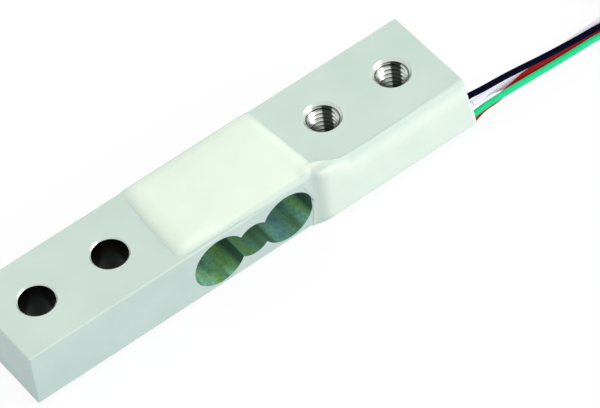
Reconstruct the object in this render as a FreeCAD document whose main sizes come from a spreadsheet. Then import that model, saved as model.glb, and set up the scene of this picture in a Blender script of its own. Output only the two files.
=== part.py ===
# Miniature single point load cell: an aluminium bar with a binocular cut-out, four bonded
# foil strain gauges wired as a bridge, beads of silicone rubber over them, and four leads.
# Millimetres. X runs along the bar to the wire end, Y across it, Z up.
# The origin is on the floor under the centre of the bar, which stands on its underside bead.
import FreeCAD
import Part
import Sketcher

import math
import os

Vector = FreeCAD.Vector
Rotation = FreeCAD.Rotation
Placement = FreeCAD.Placement

doc = FreeCAD.newDocument("load_cell")
sheet = doc.addObject("Spreadsheet::Sheet", "Dimensions")

DIMENSIONS = {
    # bar
    "beam_length": 61, "beam_width": 12.7, "beam_height": 8, "edge_break": 0.15,
    "flexure_wall": 0.5, "bore_offset": 4.75, "neck_radius": 2.35,
    "end_margin": 5.5, "hole_pitch": 10,
    "plain_radius": 2.15, "plain_chamfer": 0.2,
    "thread_radius": 2.0, "thread_chamfer": 0.35,
    # silicone beads
    "bead_length": 18, "crown": 0.9, "crown_shift": 1.2, "near_height": 0.55, "end_height": 0.6,
    "underside_bead": 0.5, "underside_inset": 0.15, "bead_bevel": 0.25,
    "coat_cover": 0.15, "coat_overrun": 0.5, "coat_shoulder": 2.0, "coat_foot": 0.8,
    "coat_toe": 0.35, "lip_height": 0.12, "lip_inset": 0.1, "lip_reach": 0.45,
    "tail_length": 3.6, "tail_height": 0.7, "tail_reach": 2.3, "tail_round": 0.35,
    "heel_length": 1.2, "heel_reach": 1.6,
    # strain gauges
    "backing_thickness": 0.06, "backing_width": 3.6, "backing_rear": 2.1, "backing_front": 3.2,
    "foil_thickness": 0.02, "grid_length": 3.0, "strand_count": 8, "strand_width": 0.14,
    "strand_pitch": 0.3, "tab_length": 1.0, "tab_width": 0.9, "tab_offset": 0.7, "tab_gap": 0.4,
    # terminal board
    "board_length": 2.2, "board_inset": 0.35, "board_thickness": 0.1,
    "pad_inset": 0.4, "pad_pitch": 0.9, "pad_width": 0.6, "pad_length": 1.6,
    "pad_thickness": 0.03, "solder_length": 1.1, "solder_height": 0.42, "solder_bevel": 0.06,
    # wires
    "lead_diameter": 0.75, "core_diameter": 0.3, "enamel_diameter": 0.16,
    "wire_gap": 0.05, "wire_lift": 0.04, "wire_pitch": 0.22,
    "tip_diameter": 0.4, "tip_length": 4.0,
    "red_rise": 0.75, "green_gap": 0.1, "black_drop": 2.7, "white_drop": 4.3,
    "riser_start": 0.5, "riser_pitch": 0.45, "strip_back": 0.75,
    # hank of spare lead
    "hank_start": 59.7, "hank_run": 13, "hank_centre": -1.5, "hank_outer": 4.9,
    "hank_inner": 2.25, "entry_length": 3.0, "tie_thickness": 0.3, "tie_width": 2.0,
    "tip_inset": 3.5,
}

for row, (alias, number) in enumerate(DIMENSIONS.items(), start=1):
    sheet.set("A%d" % row, alias)
    sheet.set("B%d" % row, str(number))
    sheet.setAlias("B%d" % row, alias)
doc.recompute()


def size(alias):
    return float(sheet.get(alias))


def cell(formula):
    # Turns "beam_length / 2" into the same formula on the sheet's cells.
    words = formula.replace("(", " ( ").replace(")", " ) ").split()
    return " ".join("Dimensions." + word if word in DIMENSIONS else word for word in words)


def bind(thing, **formulas):
    for name, formula in formulas.items():
        thing.setExpression(name, cell(formula))


def move(thing, x="0", y="0", z="0"):
    for axis, formula in (("x", x), ("y", y), ("z", z)):
        thing.setExpression("Placement.Base." + axis, cell(formula))


# Heights and faces that several pieces share.
floor_gap = size("underside_bead")
beam_top = floor_gap + size("beam_height")
near_side = -size("beam_width") / 2
bead_end = size("bead_length") / 2
coat_thickness = size("wire_gap") + size("lead_diameter") + size("coat_cover")
coat_end = size("beam_length") / 2 + size("coat_overrun")
BEAM_BASE = "underside_bead"
BEAM_TOP = "underside_bead + beam_height"
BORE_RADIUS = "(beam_height / 2 - flexure_wall)"


# ---------------------------------------------------------------- building blocks

def new_body(label):
    body = doc.addObject("PartDesign::Body", label)
    body.Label = label
    return body


def new_sketch(body, role, name):
    sketch = body.newObject("Sketcher::SketchObject", name)
    plane = next(item for item in body.Origin.OriginFeatures if item.Role == role)
    sketch.AttachmentSupport = [(plane, "")]
    sketch.MapMode = "FlatFace"
    return sketch


def constrain(sketch, kind, target, formula):
    index = sketch.addConstraint(Sketcher.Constraint(kind, *target, 1.0))
    sketch.setExpression("Constraints[%d]" % index, cell(formula))


def circle(sketch, x, y, radius):
    # A circle whose centre and radius are formulas.
    index = sketch.addGeometry(Part.Circle(Vector(1, 1, 0), Vector(0, 0, 1), 1.0), False)
    constrain(sketch, "DistanceX", (-1, 1, index, 3), x)
    constrain(sketch, "DistanceY", (-1, 1, index, 3), y)
    constrain(sketch, "Radius", (index,), radius)


def rectangle(sketch, left, bottom, width, height):
    corners = [Vector(0, 0, 0), Vector(2, 0, 0), Vector(2, 2, 0), Vector(0, 2, 0)]
    first = len(sketch.Geometry)
    for start, end in zip(corners, corners[1:] + corners[:1]):
        sketch.addGeometry(Part.LineSegment(start, end), False)
    for side in range(4):
        after = first + (side + 1) % 4
        sketch.addConstraint(Sketcher.Constraint("Coincident", first + side, 2, after, 1))
        straight = "Horizontal" if side % 2 == 0 else "Vertical"
        sketch.addConstraint(Sketcher.Constraint(straight, first + side))
    constrain(sketch, "DistanceX", (first, 1, first, 2), width)
    constrain(sketch, "DistanceY", (first + 1, 1, first + 1, 2), height)
    constrain(sketch, "DistanceX", (-1, 1, first, 1), left)
    constrain(sketch, "DistanceY", (-1, 1, first, 1), bottom)


def outline(sketch, pieces):
    # Each piece is two points for a straight line or three for an arc through the middle one.
    for piece in pieces:
        points = [Vector(x, y, 0) for x, y in piece]
        edge = Part.LineSegment(*points) if len(points) == 2 else Part.Arc(*points)
        sketch.addGeometry(edge, False)


def pad(body, sketch, length, name, symmetric=False):
    feature = body.newObject("PartDesign::Pad", name)
    feature.Profile = sketch
    feature.SideType = "Symmetric" if symmetric else "One side"
    bind(feature, Length=length)
    return feature


def cut_through(body, sketch, name):
    before = body.Shape.Volume
    feature = body.newObject("PartDesign::Pocket", name)
    feature.Profile = sketch
    feature.SideType = "Symmetric"
    feature.Type = "Length"
    bind(feature, Length="4 * beam_width")
    doc.recompute()
    if body.Shape.Volume >= before:
        raise RuntimeError(name + " cuts nothing")
    return feature


def rims(shape, radius, heights):
    # Names of the circular edges of one radius that lie at the given heights.
    names = []
    for index, edge in enumerate(shape.Edges, start=1):
        if isinstance(edge.Curve, Part.Circle) and abs(edge.Curve.Radius - radius) < 1e-6:
            if any(abs(edge.BoundBox.ZMin - z) + abs(edge.BoundBox.ZMax - z) < 1e-4 for z in heights):
                names.append("Edge%d" % index)
    return names


def bevel(body, base, edges, chamfer, name):
    feature = body.newObject("PartDesign::Chamfer", name)
    feature.Base = (base, edges)
    bind(feature, Size=chamfer)
    doc.recompute()
    return feature


def box(label, length, width, height, x, y, z):
    solid = doc.addObject("Part::Box", label)
    solid.Label = label
    bind(solid, Length=length, Width=width, Height=height)
    move(solid, x, y, z)
    return solid


def cylinder(label, radius, length, x, y, z, axis=Vector(0, 0, 1)):
    solid = doc.addObject("Part::Cylinder", label)
    solid.Label = label
    bind(solid, Radius=radius, Height=length)
    solid.Placement = Placement(Vector(0, 0, 0), Rotation(Vector(0, 0, 1), axis))
    move(solid, x, y, z)
    return solid


def combine(kind, label, shapes):
    # Fuse or Common of several shapes.
    result = doc.addObject("Part::Multi" + kind, label)
    result.Label = label
    result.Shapes = shapes
    return result


def subtract(label, base, tool):
    result = doc.addObject("Part::Cut", label)
    result.Label = label
    result.Base = base
    result.Tool = tool
    return result


def rounded_path(points):
    # Straight runs joined by tangent arcs, each as large as its two runs allow.
    points = [Vector(*point) for point in points]
    edges, radii, start = [], [], points[0]
    for before, corner, after in zip(points, points[1:], points[2:]):
        back, ahead = before - corner, after - corner
        half_turn = (math.pi - back.getAngle(ahead)) / 2
        reach = 0.45 * min(back.Length, ahead.Length)
        radius = reach / math.tan(half_turn)
        back.normalize()
        ahead.normalize()
        middle = back + ahead
        middle.normalize()
        entry, leave = corner + back * reach, corner + ahead * reach
        apex = corner + middle * (radius / math.cos(half_turn) - radius)
        edges.append(Part.LineSegment(start, entry).toShape())
        edges.append(Part.Arc(entry, apex, leave).toShape())
        radii.append(radius)
        start = leave
    edges.append(Part.LineSegment(start, points[-1]).toShape())
    return Part.Wire(edges), radii


def tube(label, points, diameter):
    # A round cord along a rounded path.
    path, radii = rounded_path(points)
    first = path.Edges[0]
    section = Part.Wire([Part.Circle(Vector(*points[0]), first.tangentAt(0), diameter / 2).toShape()])
    solid = path.makePipeShell([section], True, True)
    expected = math.pi * diameter ** 2 / 4 * path.Length
    if abs(solid.Volume - expected) > 0.01 * expected:
        raise RuntimeError(label + " is not as long as its path")
    feature = doc.addObject("Part::Feature", label)
    feature.Label = label
    feature.Shape = solid
    print(label, "length %.1f radii" % path.Length, " ".join("%.1f" % r for r in radii))
    return feature


def wire(label, points, diameter, sides):
    # A fine wire: a prism of a few sides along straight runs with mitred corners.
    points = [Vector(*point) for point in points]
    line = doc.addObject("Part::Polygon", label + "_line")
    line.Nodes = points
    section = doc.addObject("Part::RegularPolygon", label + "_section")
    section.Polygon = sides
    bind(section, Circumradius=diameter + " / 2")
    section.Placement = Placement(points[0], Rotation(Vector(0, 0, 1), points[1] - points[0]))
    sweep = doc.addObject("Part::Sweep", label)
    sweep.Label = label
    sweep.Sections = [section]
    sweep.Spine = (line, [])
    sweep.Solid = True
    sweep.Transition = "Right corner"
    return sweep


def turning_arc(start, end):
    # Three points of the arc that leaves the start straight up or down and ends at the end.
    reach, rise = end[0] - start[0], end[1] - start[1]
    radius = (reach ** 2 + rise ** 2) / (2 * reach)
    half = math.atan2(rise, radius - reach) / 2
    middle = (start[0] + radius * (1 - math.cos(half)), start[1] + radius * math.sin(half))
    return [start, middle, end]


# ---------------------------------------------------------------- spring element

def make_beam():
    body = new_body("beam_body")
    move(body, z=BEAM_BASE)
    plan = new_sketch(body, "XY_Plane", "BeamPlan")
    rectangle(plan, "-1 * beam_length / 2", "-1 * beam_width / 2",
              "beam_length", "beam_width")
    blank = pad(body, plan, "beam_height", "BeamBlank")
    doc.recompute()
    edges = ["Edge%d" % (index + 1) for index in range(len(blank.Shape.Edges))]
    bevel(body, blank, edges, "edge_break", "BeamEdges")

    # Two large bores give the four thin flexures; a smaller one between them joins the two.
    bores = new_sketch(body, "XZ_Plane", "FlexureBores")
    circle(bores, "-1 * bore_offset", "beam_height / 2", BORE_RADIUS)
    circle(bores, "bore_offset", "beam_height / 2", BORE_RADIUS)
    cut_through(body, bores, "CutFlexureBores")
    neck = new_sketch(body, "XZ_Plane", "NeckBore")
    circle(neck, "0", "beam_height / 2", "neck_radius")
    cut_through(body, neck, "CutNeckBore")

    heights = (floor_gap, beam_top)
    for name, side, radius, chamfer in (("Plain", "-1", "plain_radius", "plain_chamfer"),
                                        ("Threaded", "1", "thread_radius", "thread_chamfer")):
        holes = new_sketch(body, "XY_Plane", name + "Holes")
        for inset in ("end_margin", "(end_margin + hole_pitch)"):
            circle(holes, side + " * (beam_length / 2 - " + inset + ")", "0", radius)
        drilled = cut_through(body, holes, "Drill" + name)
        mouths = rims(body.Shape, size(radius), heights)
        if len(mouths) != 4:
            raise RuntimeError("mouths of the %s holes not found" % name)
        bevel(body, drilled, mouths, chamfer, name + "Chamfers")
    return body


# ---------------------------------------------------------------- strain gauges

def gauge_place(side, upper):
    # The tabs point to the middle of the bar; the lower gauges hang upside down.
    turn = Rotation(Vector(0, 0, 1), 0 if side < 0 else 180)
    if not upper:
        turn = turn * Rotation(Vector(1, 0, 0), 180)
    return turn


def seat_gauge(thing, side, upper, lift):
    thing.Placement = Placement(Vector(0, 0, 0), gauge_place(side, upper))
    level = BEAM_TOP + " + " + lift if upper else BEAM_BASE + " - " + lift
    move(thing, x="%d * bore_offset" % side, z=level)


def make_backing(label, side, upper):
    body = new_body(label)
    plan = new_sketch(body, "XY_Plane", label + "_plan")
    rectangle(plan, "-1 * backing_rear", "-1 * backing_width / 2",
              "backing_rear + backing_front", "backing_width")
    pad(body, plan, "backing_thickness", label + "_film")
    seat_gauge(body, side, upper, "0")
    return body


def repeat(body, original, sketch, count, length, name):
    pattern = body.newObject("PartDesign::LinearPattern", name)
    pattern.Originals = [original]
    pattern.Direction = (sketch, ["V_Axis"])
    pattern.Occurrences = count
    bind(pattern, Length=length)
    body.Tip = pattern
    doc.recompute()
    return pattern


def make_grid(label, side, upper):
    # A folded foil strand: straight legs side by side, joined in pairs at both ends, with a
    # soldering tab on the first and the last leg.
    body = new_body(label)
    count = int(size("strand_count"))
    low = "-1 * (strand_count - 1) * strand_pitch / 2"
    legs = new_sketch(body, "XY_Plane", label + "_leg")
    rectangle(legs, "-1 * grid_length / 2", low + " - strand_width / 2", "grid_length", "strand_width")
    leg = pad(body, legs, "foil_thickness", label + "_leg_pad")
    repeat(body, leg, legs, count, "(strand_count - 1) * strand_pitch", label + "_legs")
    for name, left, start, turns in (
            ("far", "-1 * grid_length / 2", low, count // 2),
            ("near", "grid_length / 2 - 2 * strand_width", low + " + strand_pitch", count // 2 - 1)):
        loops = new_sketch(body, "XY_Plane", label + "_" + name)
        rectangle(loops, left, start + " - strand_width / 2",
                  "2 * strand_width", "strand_pitch + strand_width")
        loop = pad(body, loops, "foil_thickness", label + "_" + name + "_pad")
        reach = "%d * strand_pitch" % (2 * (turns - 1))
        repeat(body, loop, loops, turns, reach, label + "_" + name + "_loops")
    tabs = new_sketch(body, "XY_Plane", label + "_tabs")
    for way in (-1, 1):
        rectangle(tabs, "grid_length / 2 + tab_gap", "%d * tab_offset - tab_width / 2" % way,
                  "tab_length", "tab_width")
    pad(body, tabs, "foil_thickness", label + "_tab_pad")
    ties = new_sketch(body, "XY_Plane", label + "_ties")
    for way in (-1, 1):
        outer = "%d * (strand_count - 1) * strand_pitch / 2" % way
        rectangle(ties, "grid_length / 2 - strand_width", outer + " - strand_width / 2",
                  "tab_gap + 2 * strand_width", "strand_width")
    pad(body, ties, "foil_thickness", label + "_tie_pad")
    seat_gauge(body, side, upper, "backing_thickness")
    return body


# ---------------------------------------------------------------- terminal board

def pad_line(index):
    return near_side + size("board_inset") + size("pad_inset") + index * size("pad_pitch")


def make_board():
    # It lies between the two upper gauges, beside the near edge of the bar.
    front = "-1 * beam_width / 2 + board_inset"
    width = "%d * pad_pitch + 2 * pad_inset" % (len(LEADS) - 1)
    pieces = [box("terminal_board", "board_length", width, "board_thickness",
                  "-1 * board_length / 2", front, BEAM_TOP)]
    for index, colour in enumerate(LEADS):
        line = front + " + pad_inset + %d * pad_pitch" % index
        pieces.append(box("pad_" + colour, "pad_length", "pad_width", "pad_thickness",
                          "-1 * pad_length / 2", line + " - pad_width / 2",
                          BEAM_TOP + " + board_thickness"))
        pieces.append(make_joint("solder_" + colour, line))
    return pieces


def make_joint(label, line):
    # A mound of solder on a pad, narrower at its top.
    body = new_body(label)
    plan = new_sketch(body, "XY_Plane", label + "_plan")
    rectangle(plan, "-1 * solder_length / 2", "-1 * pad_width / 2", "solder_length", "pad_width")
    mound = pad(body, plan, "solder_height", label + "_mound")
    doc.recompute()
    top = size("solder_height")
    upper = ["Edge%d" % (index + 1) for index, edge in enumerate(mound.Shape.Edges)
             if edge.BoundBox.ZMin > top - 1e-6]
    bevel(body, mound, upper, "solder_bevel", label + "_bevel")
    move(body, "0", line, BEAM_TOP + " + board_thickness + pad_thickness")
    return body


# ---------------------------------------------------------------- wiring

# Leads from the lowest to the highest on the bar's side, which is also the order of the pads.
LEADS = ("red", "green", "white", "black")
lead_height = {
    "red": floor_gap + size("red_rise"),
    "green": floor_gap + size("red_rise") + size("lead_diameter") + size("green_gap"),
    "white": beam_top - size("white_drop"),
    "black": beam_top - size("black_drop"),
}
lead_side = near_side - size("wire_gap") - size("lead_diameter") / 2
landing_face = size("solder_length") / 2

# Levels of wires that pass over the bar, the foil, the solder pads and each other.
enamel_lift = size("wire_lift") + size("enamel_diameter") / 2
core_lift = size("wire_lift") + size("core_diameter") / 2
on_bar = beam_top + enamel_lift
on_foil = beam_top + size("backing_thickness") + size("foil_thickness") + enamel_lift
on_pad = beam_top + size("board_thickness") + size("pad_thickness") + enamel_lift
core_level = on_bar + size("enamel_diameter") / 2 + core_lift
on_cores = core_level + size("core_diameter") / 2 + enamel_lift
under_bar = floor_gap - enamel_lift
under_foil = under_bar - size("backing_thickness") - size("foil_thickness")

# Where a core's lane and an enamelled wire's lane lie beside the middle of a solder pad, and
# how far from the joint a wire comes level with it.
core_lane, enamel_lane, approach = 0.12, -0.18, 0.35


def riser_place(index):
    return bead_end + size("riser_start") + index * size("riser_pitch")


def make_cores():
    # The stripped end of each lead rises in front of the bar, turns over its edge and runs to
    # its soldered joint.
    cores = []
    for index, colour in enumerate(LEADS):
        riser = riser_place(index)
        height = lead_height[colour]
        lane = pad_line(index) + core_lane
        cores.append(wire("core_" + colour, [
            (riser + size("strip_back"), lead_side, height),
            (riser, lead_side, height),
            (riser, lead_side, core_level),
            (bead_end - 0.6, near_side + 0.6 + 0.5 * index, core_level),
            (bead_end - 3.4, lane, core_level),
            (landing_face, lane, core_level),
        ], "core_diameter", 8))
    return cores


def make_sleeves():
    # The insulated length of each lead that is bedded in the side coat.
    sleeves = []
    for index, colour in enumerate(LEADS):
        start = riser_place(index) + size("strip_back")
        height = lead_height[colour]
        sleeves.append(wire("sleeve_" + colour, [(start, lead_side, height),
                                                 (coat_end, lead_side, height)],
                            "lead_diameter", 12))
    return sleeves


def make_enamel_wires():
    # Fine enamelled wires close the bridge: four on top, one underneath, three between them.
    # Each route starts on a gauge's tab and ends on a tab or a soldered joint.
    tab = size("bore_offset") - size("grid_length") / 2 - size("tab_gap") - size("tab_length") / 2
    near, far = -size("tab_offset"), size("tab_offset")
    red, green, white, black = (pad_line(index) for index in range(4))
    behind = black + size("pad_width") / 2
    film_end = size("bore_offset") + size("backing_rear")
    routes = {
        "top_left_near": [(-tab, near, on_foil), (-1.6, near - 1.7, on_foil),
                          (-landing_face - approach, green, on_pad), (-landing_face, green, on_pad)],
        "top_left_far": [(-tab, far, on_foil), (-1.0, 0, on_foil),
                         (-0.2, behind + approach, on_pad), (-0.2, behind, on_pad)],
        "top_right_far": [(tab, far, on_foil), (1.0, 0, on_foil),
                          (0.2, behind + approach, on_pad), (0.2, behind, on_pad)],
        "top_right_near": [(tab - 0.3, near - 0.15, on_foil), (tab - 0.35, near - 0.5, on_cores),
                           (1.6, white + enamel_lane, on_cores),
                           (landing_face + approach, white + enamel_lane, on_pad),
                           (landing_face, white + enamel_lane, on_pad)],
        "underside": [(-tab, far, under_foil), (0, far + 0.5, under_foil), (tab, far, under_foil)],
    }
    # The crossing wires start at a tab below, go round the bar's near side and end above.
    starts = {
        "red": [(-tab - 0.4, far), (-tab - 0.9, near_side + 2.05)],
        "green": [(-tab, near), (-1.4, near_side + 2.95)],
        "white": [(tab, near), (tab + 0.6, near_side + 3.75)],
    }
    ends = {
        "red": [(bead_end - 3.0, red - 0.3, on_bar), (landing_face + 1, red + enamel_lane, on_bar),
                (landing_face + approach, red + enamel_lane, on_pad),
                (landing_face, red + enamel_lane, on_pad)],
        "green": [(bead_end - 3.0, green - 0.3, on_bar),
                  (landing_face + 1, green + enamel_lane, on_bar),
                  (landing_face + approach, green + enamel_lane, on_pad),
                  (landing_face, green + enamel_lane, on_pad)],
        "white": [(film_end + 0.55, black + 0.4, on_bar), (film_end + 0.3, black + 0.6, on_foil),
                  (tab + 1.8, black + 0.9, on_foil), (tab + 0.6, near - 0.3, on_foil),
                  (tab + 0.2, near, on_foil)],
    }
    back = near_side - size("wire_gap") - size("enamel_diameter") / 2
    corner = bead_end - 0.8
    for index, colour in enumerate(("red", "green", "white")):
        riser = bead_end + 0.12 + index * size("wire_pitch")
        routes["cross_" + colour] = (
            [(x, y, under_foil) for x, y in starts[colour]]
            + [(corner, near_side + 1.65 + 0.6 * index, under_bar),
               (riser, back, under_bar), (riser, back, on_bar),
               (corner, near_side + 0.55 + 0.4 * index, on_bar)]
            + ends[colour])
    return [wire("bridge_" + name, route, "enamel_diameter", 6) for name, route in routes.items()]


# ---------------------------------------------------------------- silicone beads

def bulge_radius(half, rise):
    # Radius of an arc that falls by the rise over half its span.
    return "((%s) ^ 2 + (%s) ^ 2) / (2 * (%s))" % (half, rise, rise)


def make_top_bead(inserts):
    # A shallow cushion: the block common to two wide cylinders, one across and one along.
    across_radius = bulge_radius("beam_width / 2 - crown_shift", "crown - near_height")
    along_radius = bulge_radius("bead_length / 2", "crown - end_height")
    block = box("top_bead_block", "bead_length", "beam_width", "crown",
                "-1 * bead_length / 2", "-1 * beam_width / 2", BEAM_TOP)
    across = cylinder("top_bead_across", across_radius, "bead_length",
                      "-1 * bead_length / 2", "-1 * crown_shift",
                      BEAM_TOP + " + crown - (" + across_radius + ")", axis=Vector(1, 0, 0))
    along = cylinder("top_bead_along", along_radius, "beam_width",
                     "0", "beam_width / 2", BEAM_TOP + " + crown - (" + along_radius + ")",
                     axis=Vector(0, -1, 0))
    cushion = combine("Common", "top_bead_cushion", [block, across, along])
    return subtract("top_sealant", cushion, inserts)


def make_underside_bead(inserts):
    body = new_body("underside_bead_body")
    plan = new_sketch(body, "XY_Plane", "UndersidePlan")
    rectangle(plan, "-1 * bead_length / 2", "-1 * beam_width / 2 + underside_inset",
              "bead_length", "beam_width - 2 * underside_inset")
    slab = pad(body, plan, "underside_bead", "UndersideSlab")
    doc.recompute()
    rim = ["Edge%d" % (index + 1) for index, edge in enumerate(slab.Shape.Edges)
           if edge.BoundBox.ZMax < 1e-6 and edge.BoundBox.XMax < bead_end + 1e-6
           and edge.BoundBox.XMin < bead_end - 1e-6]
    bevel(body, slab, rim, "bead_bevel", "UndersideBevel")
    return subtract("underside_sealant", body, inserts)


def make_side_coat(inserts):
    # Bedding for the leads, with a tail over the upper edge and a heel under the lower one,
    # where the fine wires go round the bar.
    body = new_body("side_coat_body")
    outer = near_side - coat_thickness
    shoulder = beam_top - size("coat_shoulder")
    lip = beam_top + size("lip_height")
    lip_start = near_side - size("lip_inset")
    lip_end = near_side + size("lip_reach")
    foot = floor_gap + size("coat_foot")
    toe = near_side - size("coat_toe")
    base = floor_gap + size("wire_gap")
    inner, top = near_side + size("tail_reach"), beam_top + size("tail_height")
    heel_inner = near_side + size("heel_reach")
    r = size("tail_round")

    def layer_along(name, length, pieces):
        section = new_sketch(body, "YZ_Plane", name + "Section")
        outline(section, pieces)
        section.AttachmentOffset = Placement(Vector(0, 0, bead_end), Rotation())
        pad(body, section, length, name)

    layer_along("Coat", "beam_length / 2 + coat_overrun - bead_length / 2", [
        [(near_side, base), (toe, base)],
        turning_arc((outer, foot), (toe, base)),
        [(outer, foot), (outer, shoulder)],
        turning_arc((outer, shoulder), (lip_start, lip)),
        [(lip_start, lip), (lip_end, lip)],
        [(lip_end, lip), (lip_end, beam_top)],
        [(lip_end, beam_top), (near_side, beam_top)],
        [(near_side, beam_top), (near_side, base)],
    ])
    layer_along("Tail", "tail_length", [
        [(near_side, shoulder), (outer, shoulder)],
        [(outer, shoulder), (outer, top - r)],
        turning_arc((outer, top - r), (outer + r, top)),
        [(outer + r, top), (inner, top)],
        [(inner, top), (inner, beam_top)],
        [(inner, beam_top), (near_side, beam_top)],
        [(near_side, beam_top), (near_side, shoulder)],
    ])
    # The tail narrows to nothing beside the lip.
    slope = new_sketch(body, "XY_Plane", "TailSlope")
    tail_end = bead_end + size("tail_length")
    corners = [(bead_end, inner), (tail_end, inner), (tail_end, lip_end)]
    outline(slope, zip(corners, corners[1:] + corners[:1]))
    slope.AttachmentOffset = Placement(Vector(0, 0, beam_top), Rotation())
    doc.recompute()
    before = body.Shape.Volume
    taper = body.newObject("PartDesign::Pocket", "TailTaper")
    taper.Profile = slope
    taper.Reversed = True
    bind(taper, Length="2 * tail_height")
    doc.recompute()
    if body.Shape.Volume >= before:
        raise RuntimeError("the tail is not tapered")
    layer_along("Heel", "heel_length", [
        [(near_side, foot), (outer, foot)],
        [(outer, foot), (outer, r)],
        turning_arc((outer, r), (outer + r, 0)),
        [(outer + r, 0), (heel_inner, 0)],
        [(heel_inner, 0), (heel_inner, floor_gap)],
        [(heel_inner, floor_gap), (near_side, floor_gap)],
        [(near_side, floor_gap), (near_side, foot)],
    ])
    return subtract("side_sealant", body, inserts)


# ---------------------------------------------------------------- free leads

def layer(index):
    return size("tie_thickness") + (index + 0.5) * size("lead_diameter")


def make_free_leads():
    # Each lead leaves the coat's end straight, then wanders down to its layer of the hank.
    # Its points are placed along X from the coat's end.
    hank_entry = size("hank_start") - size("entry_length")
    hank_side = size("hank_centre") - size("hank_outer")
    routes = {
        "green": (2.6, [(7.5, -7.1, 2.5), (15.5, -6.7, 1.5)]),
        "red": (2.6, [(7.2, -6.0, 1.9), (15.0, -6.2, 2.6)]),
        "black": (2.8, [(8.5, -6.75, 5.0), (15.5, -6.65, 3.4)]),
        "white": (2.8, [(8.6, -5.9, 3.8), (17.0, -5.6, 4.0)]),
    }
    leads = []
    for index, (colour, (straight, points)) in enumerate(routes.items()):
        height = lead_height[colour]
        route = [(coat_end, lead_side, height), (coat_end + straight, lead_side, height)]
        route += [(coat_end + x, y, z) for x, y, z in points]
        route += [(hank_entry - 3.2, hank_side, layer(index)), (hank_entry, hank_side, layer(index))]
        leads.append(tube("lead_" + colour, route, size("lead_diameter")))
    return leads


def slot(label, radius, height, z):
    # A straight slot's solid: two round ends and the block between them.
    ends = [cylinder(label + end, radius, height, x, "hank_centre", z)
            for end, x in (("_left", "hank_start"), ("_right", "hank_start + hank_run"))]
    middle = box(label + "_middle", "hank_run", "2 * (" + radius + ")", height,
                 "hank_start", "hank_centre - (" + radius + ")", z)
    return combine("Fuse", label, ends + [middle])


def make_hank():
    stack = "4 * lead_diameter"
    outer = slot("hank_outer_slot", "hank_outer + lead_diameter / 2", stack, "tie_thickness")
    entry = box("hank_entry", "entry_length", "lead_diameter", stack,
                "hank_start - entry_length", "hank_centre - hank_outer - lead_diameter / 2",
                "tie_thickness")
    inner = slot("hank_inner_slot", "hank_inner - lead_diameter / 2", stack, "tie_thickness")
    return subtract("lead_hank", combine("Fuse", "hank_full", [outer, entry]), inner)


def make_tie():
    reach = "hank_outer + lead_diameter / 2"
    middle = "hank_start + hank_run / 2 - tie_width / 2"
    band = box("tie_band", "tie_width", "2 * (" + reach + " + tie_thickness)",
               "4 * lead_diameter + 2 * tie_thickness",
               middle, "hank_centre - (" + reach + ") - tie_thickness", "0")
    core = box("tie_core", "tie_width", "2 * (" + reach + ")", "4 * lead_diameter",
               middle, "hank_centre - (" + reach + ")", "tie_thickness")
    return subtract("hank_tie", band, core)


def make_tips():
    # The tinned ends lie inside the hank, along the wall of its slot.
    tips = []
    end = size("hank_start") + size("hank_run") - size("tip_inset")
    wall = size("hank_centre") + size("hank_inner") - size("lead_diameter") / 2
    line = wall - size("tip_diameter") / 2
    for index, colour in enumerate(("green", "red", "black", "white")):
        tips.append(wire("tip_" + colour, [(end - size("tip_length"), line, layer(index)),
                                           (end, line, layer(index))], "tip_diameter", 12))
    return tips


# ---------------------------------------------------------------- assembly

beam = make_beam()
upper_gauges, lower_gauges = [], []
for level, upper, group in (("top", True, upper_gauges), ("bottom", False, lower_gauges)):
    for end, side in (("left", -1), ("right", 1)):
        group.append(make_backing("gauge_film_%s_%s" % (level, end), side, upper))
        group.append(make_grid("gauge_grid_%s_%s" % (level, end), side, upper))
board = make_board()
cores = make_cores()
sleeves = make_sleeves()
enamel = make_enamel_wires()
top_inserts = combine("Fuse", "top_inserts", upper_gauges + board + cores + enamel)
side_inserts = combine("Fuse", "side_inserts", cores + sleeves + enamel)
under_inserts = combine("Fuse", "underside_inserts", lower_gauges + enamel)
sealants = [make_top_bead(top_inserts), make_side_coat(side_inserts),
            make_underside_bead(under_inserts)]
leads = make_free_leads()
spare = [make_hank(), make_tie()] + make_tips()
doc.recompute()

nodes = [beam] + upper_gauges + lower_gauges + board + cores + sleeves + enamel
nodes += sealants + leads + spare
for thing in doc.Objects:
    if "Invalid" in thing.State or "Error" in thing.State:
        raise RuntimeError(thing.Name + " failed: " + str(thing.State))
for node in nodes:
    if node.Shape.isNull() or not node.Shape.isValid() or len(node.Shape.Solids) != 1:
        raise RuntimeError("%s has no single valid solid" % node.Label)

os.makedirs("parts", exist_ok=True)
for node in nodes:
    node.Shape.exportStep("parts/%s.step" % node.Label)
print(len(nodes), "nodes")
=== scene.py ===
# Looks of a miniature single point load cell: a blasted aluminium bar with white silicone
# rubber over its strain gauges, and four thin leads.
import math

import bpy
import mathutils
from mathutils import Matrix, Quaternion, Vector


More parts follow.
